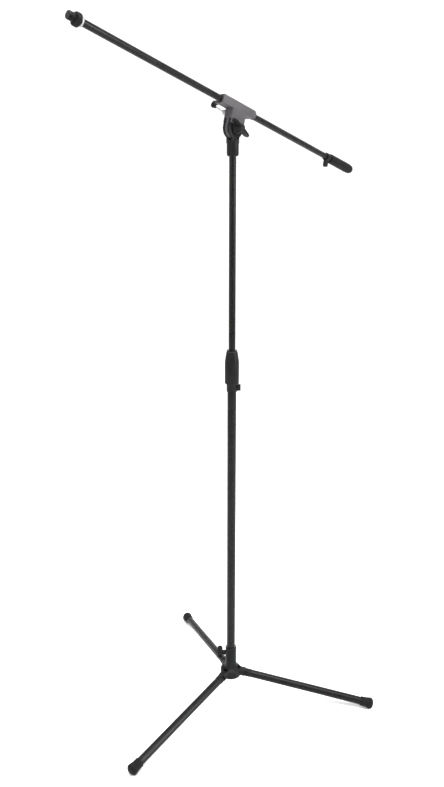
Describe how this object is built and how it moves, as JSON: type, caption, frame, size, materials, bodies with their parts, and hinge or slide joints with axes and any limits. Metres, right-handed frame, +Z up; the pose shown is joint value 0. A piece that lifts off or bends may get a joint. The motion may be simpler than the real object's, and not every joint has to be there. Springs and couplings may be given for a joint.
{
  "type": "boom microphone stand",
  "caption": "Folding tripod microphone stand with a telescopic mast, hand clutch, tilting clamp and sliding boom with a threaded end.",
  "frame": {"origin": "mast axis at floor level", "axes": "+Z up the mast, +X the way the boom's microphone end points, +Y along the tilt pivot towards the wing knob"},
  "size_m": [0.8773, 0.6579, 1.6122],
  "materials": {
    "cast": "satin black coating on die cast zinc",
    "clamp_shell": "satin dark grey coating on die cast zinc",
    "coated_tube": "semi-gloss black powder coat",
    "rubber": "matte black rubber",
    "black_plastic": "satin moulded black plastic",
    "bush_plastic": "natural plastic, hidden",
    "dark_steel": "black oxide steel",
    "bright_steel": "zinc plated steel",
    "brass": "turned brass, hidden"
  },
  "bodies": {
    "base": {"leg_hub": "cast", "hub_bush": "bush_plastic", "leg_pins": "dark_steel"},
    "hub_screw": {"hub_screw_shank": "dark_steel", "hub_screw_wing": "black_plastic"},
    "leg_1": {"leg_arm_1": "cast", "leg_tube_1": "coated_tube", "foot_1": "rubber"},
    "leg_2": {"leg_arm_2": "cast", "leg_tube_2": "coated_tube", "foot_2": "rubber"},
    "leg_3": {"leg_arm_3": "cast", "leg_tube_3": "coated_tube", "foot_3": "rubber"},
    "mast": {"lower_tube": "coated_tube", "lower_end_cone": "bush_plastic", "clutch_collar": "black_plastic", "clutch_screw": "dark_steel", "clutch_collet": "bush_plastic", "clutch_ring": "black_plastic"},
    "clutch": {"clutch_grip": "black_plastic"},
    "guide": {"upper_guide": "bush_plastic"},
    "upper": {"upper_tube": "coated_tube", "upper_stud": "bright_steel", "swivel_base": "cast"},
    "clamp": {"clamp_front": "clamp_shell", "clamp_back": "clamp_shell", "friction_washers": "bush_plastic", "pivot_bolt": "dark_steel", "clamp_bushes": "black_plastic"},
    "tilt_knob": {"wing_knob": "black_plastic", "wing_insert": "brass"},
    "boom_lock": {"boom_lock_lever": "bright_steel", "boom_lock_cap": "black_plastic"},
    "boom": {"boom_tube": "coated_tube", "mic_stud": "dark_steel", "stud_washer": "bright_steel", "end_grip": "rubber", "end_weight": "bright_steel", "end_collar": "black_plastic"},
    "mic_lock": {"lock_ring": "black_plastic"}
  },
  "joints": [
    {"name": "leg_1_fold", "type": "hinge", "parent": "base", "child": "leg_1", "pos_m": [0.02791, 0.00229, 0.073], "axis": [0.0819, -0.9966, 0], "range_deg": [0, 100]},
    {"name": "leg_2_fold", "type": "hinge", "parent": "base", "child": "leg_2", "pos_m": [-0.01594, 0.02302, 0.073], "axis": [0.8221, 0.5693, 0], "range_deg": [0, 100]},
    {"name": "leg_3_fold", "type": "hinge", "parent": "base", "child": "leg_3", "pos_m": [-0.01197, -0.02531, 0.073], "axis": [-0.9041, 0.4274, 0], "range_deg": [0, 100]},
    {"name": "hub_screw_turn", "type": "hinge", "parent": "base", "child": "hub_screw", "pos_m": [0.01423, -0.02055, 0.125], "axis": [0.5693, -0.8221, 0], "range_deg": [-180, 180]},
    {"name": "mast_lift", "type": "slide", "parent": "base", "child": "mast", "axis": [0, 0, 1], "range_m": [0, 0.03]},
    {"name": "clutch_turn", "type": "hinge", "parent": "mast", "child": "clutch", "pos_m": [0, 0, 0.9], "axis": [0, 0, 1], "range_deg": [-60, 60]},
    {"name": "height", "type": "slide", "parent": "mast", "child": "guide", "axis": [0, 0, 1], "range_m": [-0.42, 0.17]},
    {"name": "pan", "type": "hinge", "parent": "guide", "child": "upper", "pos_m": [0, 0, 1], "axis": [0, 0, 1], "continuous": true},
    {"name": "boom_tilt", "type": "hinge", "parent": "upper", "child": "clamp", "pos_m": [0, 0, 1.44], "axis": [0, -1, 0], "range_deg": [-105, 74]},
    {"name": "tilt_knob_turn", "type": "hinge", "parent": "clamp", "child": "tilt_knob", "pos_m": [0, 0.02, 1.44], "axis": [0, 1, 0], "continuous": true},
    {"name": "boom_lock_turn", "type": "hinge", "parent": "clamp", "child": "boom_lock", "pos_m": [0.00728, -0.015, 1.47321], "axis": [0, 1, 0], "range_deg": [-60, 60]},
    {"name": "boom_slide", "type": "slide", "parent": "clamp", "child": "boom", "axis": [0.9627, 0, 0.2706], "range_m": [-0.29, 0.27]},
    {"name": "mic_lock_turn", "type": "hinge", "parent": "boom", "child": "mic_lock", "pos_m": [0.40178, 0, 1.59968], "axis": [0.9627, 0, 0.2706], "continuous": true}
  ]
}
